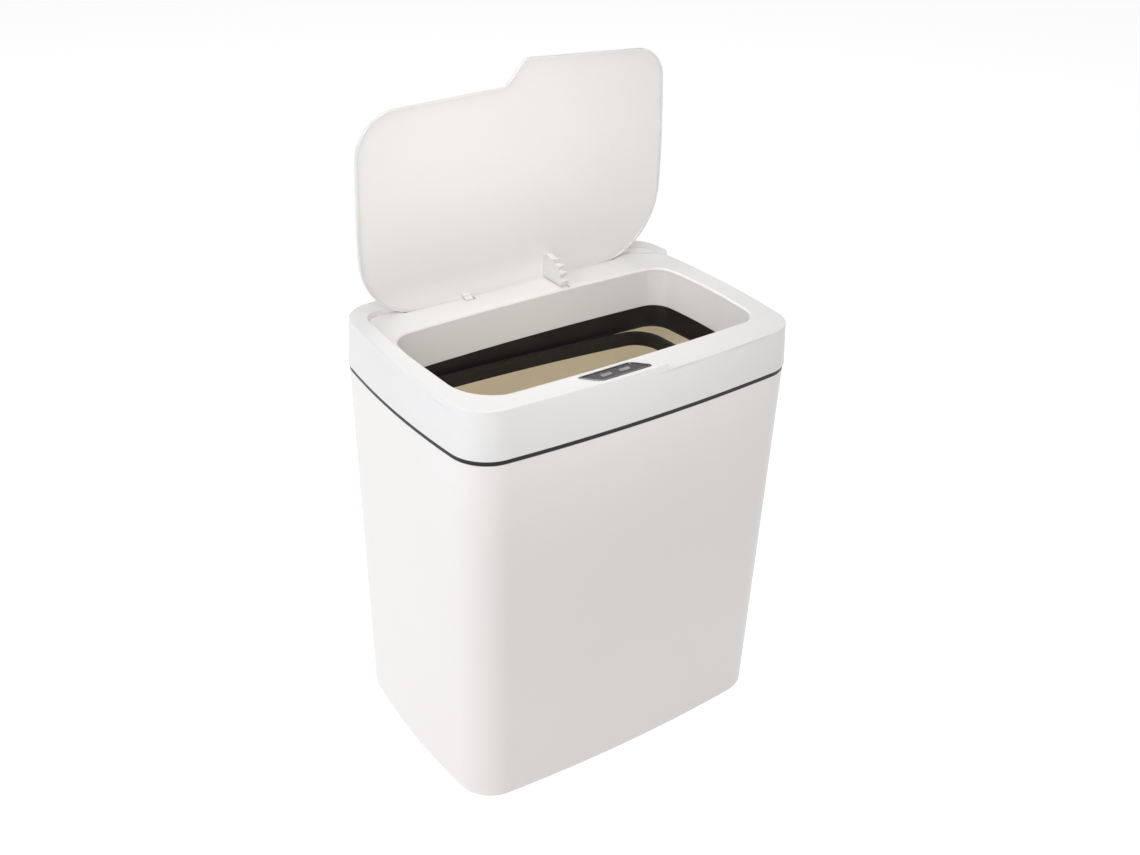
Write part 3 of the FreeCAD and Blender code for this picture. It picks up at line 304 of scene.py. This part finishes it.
def solder_mask(name):
    """Green board with darker copper runs under the mask."""
    n = Nodes(name)
    bricks = n.add("ShaderNodeTexBrick")
    bricks.inputs["Scale"].default_value = 260.0
    bricks.inputs["Mortar Size"].default_value = 0.06
    bricks.inputs["Color1"].default_value = (0.010, 0.085, 0.035, 1.0)
    bricks.inputs["Color2"].default_value = (0.014, 0.10, 0.045, 1.0)
    bricks.inputs["Mortar"].default_value = (0.03, 0.17, 0.075, 1.0)
    n.link(n.place, bricks, "Vector")
    n.colour(bricks.outputs["Color"])
    n.roughness(n.spread(n.noise(90.0), 0.22, 0.4))
    n.bump(bricks.outputs["Fac"], 0.2, 0.0001)
    n.constant("Coat Weight", 0.3)
    return n.material


def battery_sleeve():
    """Shrink sleeve: dark barrel with a copper-coloured band at one end."""
    n = Nodes("battery_wrap")
    low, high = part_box("batteries")
    position = n.add("ShaderNodeSeparateXYZ")
    n.link(n.place, position, "Vector")
    length = high.x - low.x
    band = n.math("LESS_THAN", position.outputs["X"], low.x + length * 0.28)
    grain = n.spread(n.noise(300.0, 3.0), 0.0, 1.0)
    barrel = n.mix(grain, (0.02, 0.02, 0.024), (0.035, 0.035, 0.04))
    n.colour(n.mix(band, barrel, (0.42, 0.20, 0.07)))
    n.roughness(n.spread(n.noise(120.0), 0.24, 0.38))
    n.bump(n.noise(90.0, 2.0), 0.1, 0.0002)
    n.constant("Coat Weight", 0.4)
    return n.material


def lamp_epoxy(name, tone, clear):
    n = Nodes(name)
    swirl = n.noise(500.0, 2.0)
    n.colour(n.mix(n.spread(swirl, 0.0, 1.0), tone, tuple(c * 0.8 for c in tone)))
    n.roughness(n.spread(n.noise(250.0), 0.06, 0.16))
    n.bump(swirl, 0.05, 0.0001)
    n.constant("Transmission Weight", clear)
    n.constant("IOR", 1.54)
    return n.material


def matt_black(name, tone):
    return moulded_plastic(name, tone, gloss=0.5, texture=1.0, warm=0.0, coat=0.0).material


def black_moulding(name):
    """Satin black moulding of the frame and the ring."""
    n = Nodes(name)
    drift = n.noise(20.0, 3.0)
    base = n.mix(n.spread(drift, 0.0, 1.0), (0.0105, 0.0092, 0.0085), (0.0165, 0.0145, 0.0135))
    n.colour(n.mix(dust(n, 0.04), base, (0.25, 0.23, 0.21)))
    patches = n.spread(n.noise(26.0, 5.0), 0.34, 0.44)
    n.roughness(n.math("ADD", patches, n.spread(n.noise(900.0), -0.02, 0.02)))
    n.bump(n.noise(2100.0, 2.0), 0.10, 0.0003, 0.0005)
    n.constant("IOR", 1.42)
    return n.material


def make_materials():
    white_head = moulded_plastic("white_head", (0.815, 0.803, 0.792)).material
    white_lid = moulded_plastic("white_lid", (0.845, 0.832, 0.820), gloss=0.30).material
    white_base = moulded_plastic("white_base", (0.78, 0.77, 0.755), gloss=0.5, coat=0.0).material
    acetal = moulded_plastic("gear_white", (0.83, 0.82, 0.79), gloss=0.34, rounding=0.0003).material
    steel_pin = metal("steel_pin", (0.60, 0.60, 0.61), 0.24, (6, 1, 1))
    steel_screw = metal("steel_screw", (0.62, 0.61, 0.58), 0.34)
    board = solder_mask("circuit_board")
    chip = matt_black("chip_black", (0.03, 0.03, 0.032))
    black = black_moulding("black_frame")
    return {
        "body_shell": body_plastic(), "rubber_feet": rubber("foot_rubber"),
        "trim_frame": black, "bag_ring": black_moulding("black_ring"),
        "head_shell": white_head, "head_base": white_base, "base_screws": steel_screw,
        "lid_panel": white_lid, "hinge_knuckle": white_lid, "lid_sector": acetal,
        "hinge_pins": steel_pin, "output_gear": acetal, "idler_gear": acetal,
        "motor_pinion": metal("brass_gear", (0.72, 0.50, 0.20), 0.26, (1, 8, 8)),
        "motor_shaft": steel_pin, "motor_can": metal("motor_steel", (0.55, 0.55, 0.54), 0.32, (8, 1, 1)),
        "gearbox_plates": metal("plate_steel", (0.50, 0.50, 0.51), 0.36, (1, 5, 1)),
        "gear_axles": steel_pin,
        "sensor_bezel": metal("bezel_metal", (0.36, 0.36, 0.38), 0.26, (8, 1, 1), 700.0),
        "sensor_window": smoked_plastic("dark_window", (0.016, 0.015, 0.017), 0.20),
        "sensor_lenses": smoked_plastic("eye_lens", (0.20, 0.19, 0.20), 0.18),
        "sensor_board": board, "main_board": board, "board_screws": steel_screw,
        "ir_emitter": lamp_epoxy("lamp_clear", (0.62, 0.66, 0.74), 0.7),
        "ir_receiver": lamp_epoxy("lamp_dark", (0.03, 0.02, 0.035), 0.2),
        "board_parts": chip, "switch_housing": chip,
        "battery_box": white_base, "battery_door": white_base,
        "batteries": battery_sleeve(),
        "battery_contacts": metal("contact_nickel", (0.66, 0.65, 0.62), 0.3),
        "switch_knob": matt_black("switch_black", (0.035, 0.035, 0.036)),
    }


def dress_frame():
    for name, material in make_materials().items():
        mesh = nodes[name].data
        mesh.materials.clear()
        mesh.materials.append(material)


make_camera()
make_light()
make_floor()
dress_frame()
